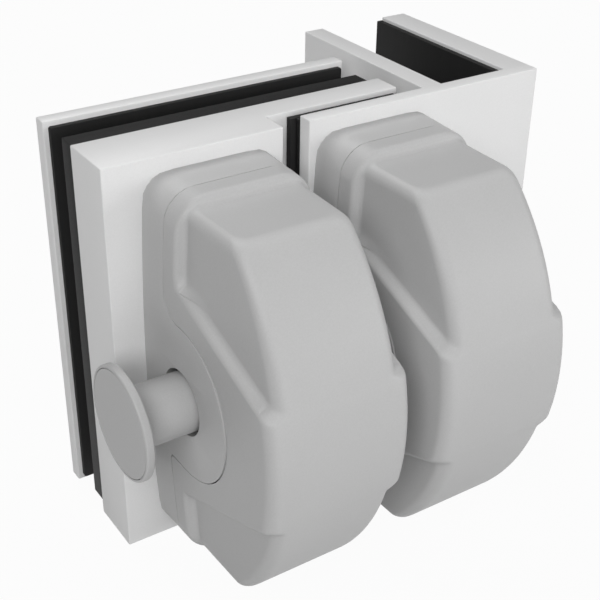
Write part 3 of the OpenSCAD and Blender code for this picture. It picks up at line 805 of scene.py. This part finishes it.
def makeKnob():
    k = knobSize
    back = k["front"] + k["thick"]
    capBack = k["front"] + k["capT"]
    lip = k["disc"] - k["rim"]
    bend, endBend = k["round"], k["endRound"]
    profile = [(capBack, 0), (capBack, lip)]
    profile += cornerArc(k["front"] + k["lipRound"], lip + k["lipRound"], k["lipRound"], 270, 180, steps=3)
    profile += cornerArc(k["front"] + bend, k["disc"] - bend, bend, 180, 90)
    profile += cornerArc(back - bend, k["disc"] - bend, bend, 90, 0)
    profile += cornerArc(back + k["fillet"], k["neck"] + k["fillet"], k["fillet"], 180, 270, steps=12)
    profile += cornerArc(k["end"] - endBend, k["neck"] - endBend, endBend, 90, 0, steps=3)
    profile += [(k["end"], k["bore"]), (k["boreStart"], k["bore"]), (k["boreStart"], 0)]
    knob = turnProfile("pullKnob", profile, k["sides"])
    dress(smoothPiece(knob, angle=40), housingCoat, "pull_bolt", "grey_housing", "knob")
    edge, bend = lip - k["capGap"], k["capRound"]
    cap = [(k["front"], 0), (k["front"], edge - bend)]
    cap += cornerArc(k["front"] + bend, edge - bend, bend, 180, 90, steps=4)
    cap += [(capBack, edge), (capBack, 0)]
    disc = turnProfile("knobCap", cap, k["sides"])
    dress(smoothPiece(disc, angle=40), housingCoat, "pull_bolt", "grey_housing", "knob_cap")


def makeBolt():
    size = {"start": -35.15, "tip": 12.45, "r": 5.0, "chamfer": 0.3, "groove": (-12.5, -11.4),
            "grooveR": 4.2, "sides": 96,
            "noseX": (-2.5, -2.15, -1.8, -0.3, -0.08, 0.0),  # from the tip
            "noseR": (5.0, 4.96, 4.75, 3.25, 3.0, 2.7)}
    r, (start, end) = size["r"], size["groove"]
    profile = [(size["start"], 0), (size["start"], r - size["chamfer"]), (size["start"] + size["chamfer"], r)]
    profile += [(start, r), (start, size["grooveR"]), (end, size["grooveR"]), (end, r)]
    profile += [(size["tip"] + x, noseR) for x, noseR in zip(size["noseX"], size["noseR"])]
    profile += [(size["tip"], 0)]
    rod = turnProfile("boltRod", profile, size["sides"])
    dress(smoothPiece(rod, angle=30), brightSteel, "pull_bolt", "steel", "bolt")


makeKnob()
makeBolt()
print("knob and bolt done")

# Spring


def makeSpring():
    size = {"start": -33.5, "end": -13.7, "r": 8.05, "wire": 1.1, "turns": 5.5, "perTurn": 36}
    steps = int(size["turns"] * size["perTurn"])
    length, wire = size["end"] - size["start"], size["wire"]

    def rise(u):  # the first and the last turn lie close
        middle = min(max((u - 1) / (size["turns"] - 2), 0), 1)
        closed = wire * min(u, 1) + wire * max(0, u - size["turns"] + 1)
        return wire / 2 + closed + (length - 3 * wire) * middle

    path = bpy.data.curves.new("returnSpring", "CURVE")
    path.dimensions = "3D"
    path.bevel_depth = wire / 2 * mm
    path.bevel_resolution = 4
    path.use_fill_caps = True
    line = path.splines.new("POLY")
    line.points.add(steps)
    for i in range(steps + 1):
        u = i / size["perTurn"]
        a = 2 * math.pi * u
        across, up = size["r"] * math.cos(a), size["r"] * math.sin(a)
        spot = (size["start"] + rise(u), spots["axisY"] + across, spots["axisZ"] + up)
        line.points[i].co = [v * mm for v in spot] + [1]
    pick(addObject("returnSpring", path))
    bpy.ops.object.convert(target="MESH")
    coil = bpy.context.object
    cleanUp(coil, gap=0.001)
    dress(smoothPiece(coil, angle=60), brightSteel, "latch", "steel", "return_spring")
    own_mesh(coil)


makeSpring()
print("spring done")

# Screws that show


def finishScrews(made, name, edge, material, slotName, node):
    screws = joinAll(made)
    screws.name = name
    bevelPiece(screws, edge, segments=2, angle=40)
    dress(smoothPiece(screws), material, "latch", slotName, node)


def makeClampScrews():
    size = {"headR": 5.7, "r": 3.0, "headDepth": 2.7, "tip": -18.8, "hex": 3.6, "edge": 0.12}
    made = []
    top, under = spots["rearBack"], spots["rearBack"] - size["headDepth"]
    for z in (-1, 1):
        spot = (spots["clampX"], 0, z * spots["clampZ"])
        screw = addRod("clampScrew", "Y", spot, size["tip"], top, size["r"], sides=48)
        head = addRod("clampHead", "Y", spot, under, top, size["r"], size["headR"])
        carve(screw, [head], "UNION")
        carve(screw, [hexBit("Y", spot, under, top + 1, size["hex"])])
        made.append(screw)
    finishScrews(made, "clampScrews", size["edge"], brightSteel, "steel", "clamp_screws")


def makeSetScrews():
    size = {"start": 38.65, "end": 46.55, "r": 3.0, "hex": 3.0, "hexDepth": 3, "edge": 0.2}
    made = []
    start = size["start"]
    for z in (-1, 1):
        spot = (0, keeperSize["setY"], z * keeperSize["setZ"])
        screw = addRod("setScrew", "X", spot, start, size["end"], size["r"], sides=48)
        carve(screw, [hexBit("X", spot, start - 1, start + size["hexDepth"], size["hex"])])
        made.append(screw)
    finishScrews(made, "setScrews", size["edge"], blackSteel, "dark_steel", "set_screws")


makeClampScrews()
makeSetScrews()
print("screws done")

# CAD nodes that keep their own shape

finishes = {
    "glass_sleeves": bushPlastic, "latch_cover_screws": flatSteel, "keeper_cover_screws": flatSteel,
    "knob_bush": bushPlastic, "bolt_bush": bushPlastic, "strike_bush": bushPlastic,
    "spring_washer": brightSteel, "retaining_ring": blackSteel, "pressure_plate": flatSteel,
}
for nodeName, finish in finishes.items():
    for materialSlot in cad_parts[nodeName].material_slots:
        materialSlot.material = finish
print("carried-over pieces dressed")

# Floor, light and camera

stage = {"size": 8, "z": -0.05, "grey": 0.50, "glow": 0.955, "world": 0.02}  # in metres


def makeStage():
    deselectAll()
    bpy.ops.mesh.primitive_plane_add(size=stage["size"], location=(0, 0, stage["z"]))
    floor = bpy.context.object
    floor.name = "floor"
    paint = Paint("paleFloor")
    rays = paint.node("ShaderNodeLightPath")
    seen = paint.out(rays, "Is Camera Ray")
    for kind in ("Is Glossy Ray", "Is Transmission Ray"):
        seen = seen + paint.out(rays, kind)
    matt = paint.out(paint.node("ShaderNodeBsdfDiffuse", Color=grey(stage["grey"])))
    glow = paint.out(paint.node("ShaderNodeEmission", Color=grey(1.0), Strength=1.0))
    pale = paint.out(paint.node("ShaderNodeMixShader", i0=stage["glow"], i1=matt, i2=glow))
    both = paint.node("ShaderNodeMixShader", i0=seen.maths("MINIMUM", 1.0), i1=matt, i2=pale)
    paint.give(paint.tree.nodes["Material Output"].inputs["Surface"], paint.out(both))
    floor.data.materials.append(paint.material)


def makeWorld():
    world = bpy.data.worlds.new("studio")
    bpy.context.scene.world = world
    world.use_nodes = True
    world.node_tree.nodes.clear()
    sky = Nodes(world.node_tree)
    rays = sky.node("ShaderNodeLightPath")
    seen = sky.out(rays, "Is Camera Ray") + sky.out(rays, "Is Transmission Ray")
    dim = sky.node("ShaderNodeBackground", Color=grey(1.0), Strength=stage["world"])
    white = sky.node("ShaderNodeBackground", Color=grey(1.0))
    mix = sky.node("ShaderNodeMixShader", i0=seen.maths("MINIMUM", 1.0), i1=sky.out(dim), i2=sky.out(white))
    sky.node("ShaderNodeOutputWorld", Surface=sky.out(mix))


lamps = {  # in metres and watts
    "keyLamp": {"place": (-0.724, -0.724, 0.717), "power": 9.1, "size": 0.7},
    "frontLamp": {"place": (0.0, -1.223, 0.26), "power": 3.3, "size": 0.5},
    "rightFrontLamp": {"place": (0.865, -0.865, 0.26), "power": 4.7, "size": 0.5},
    "rightTopLamp": {"place": (0.625, 0.0, 1.083), "power": 2.2, "size": 0.7},
    "backLamp": {"place": (0.0, 0.625, 1.083), "power": 7.6, "size": 0.7},
}


def addLamp(name, place, power, size):  # a square lamp that points at the middle of the latch
    lamp = bpy.data.lights.new(name, "AREA")
    lamp.energy = power
    lamp.size = size
    obj = addObject(name, lamp)
    obj.location = place
    obj.rotation_euler = (-Vector(place)).to_track_quat("-Z", "Y").to_euler()


def makeCamera():
    view = {"azimuth": 33.739, "down": 30.252, "roll": 0.906, "place": (-0.13374, -0.22545, 0.14661),
            "lens": 70.105, "sensor": 36, "shiftX": -0.0008, "shiftY": 0.0002, "near": 0.01}
    cam = bpy.data.cameras.new("photoCamera")
    cam.lens = view["lens"]
    cam.sensor_width = view["sensor"]
    cam.sensor_fit = "HORIZONTAL"
    cam.shift_x = view["shiftX"]
    cam.shift_y = view["shiftY"]
    cam.clip_start = view["near"]
    obj = addObject("photoCamera", cam)
    az, down, roll = (math.radians(view[key]) for key in ("azimuth", "down", "roll"))
    aim = Vector((math.sin(az) * math.cos(down), math.cos(az) * math.cos(down), -math.sin(down)))
    level = Vector((math.cos(az), -math.sin(az), 0))
    upright = level.cross(aim)
    right = level * math.cos(roll) + upright * math.sin(roll)
    up = upright * math.cos(roll) - level * math.sin(roll)
    obj.location = view["place"]
    obj.rotation_euler = Matrix((right, up, -aim)).transposed().to_euler()
    bpy.context.scene.camera = obj


makeStage()
makeWorld()
for lampName, lamp in lamps.items():
    addLamp(lampName, lamp["place"], lamp["power"], lamp["size"])
makeCamera()
bpy.context.scene.view_settings.view_transform = "Standard"
print("stage, light and camera done")
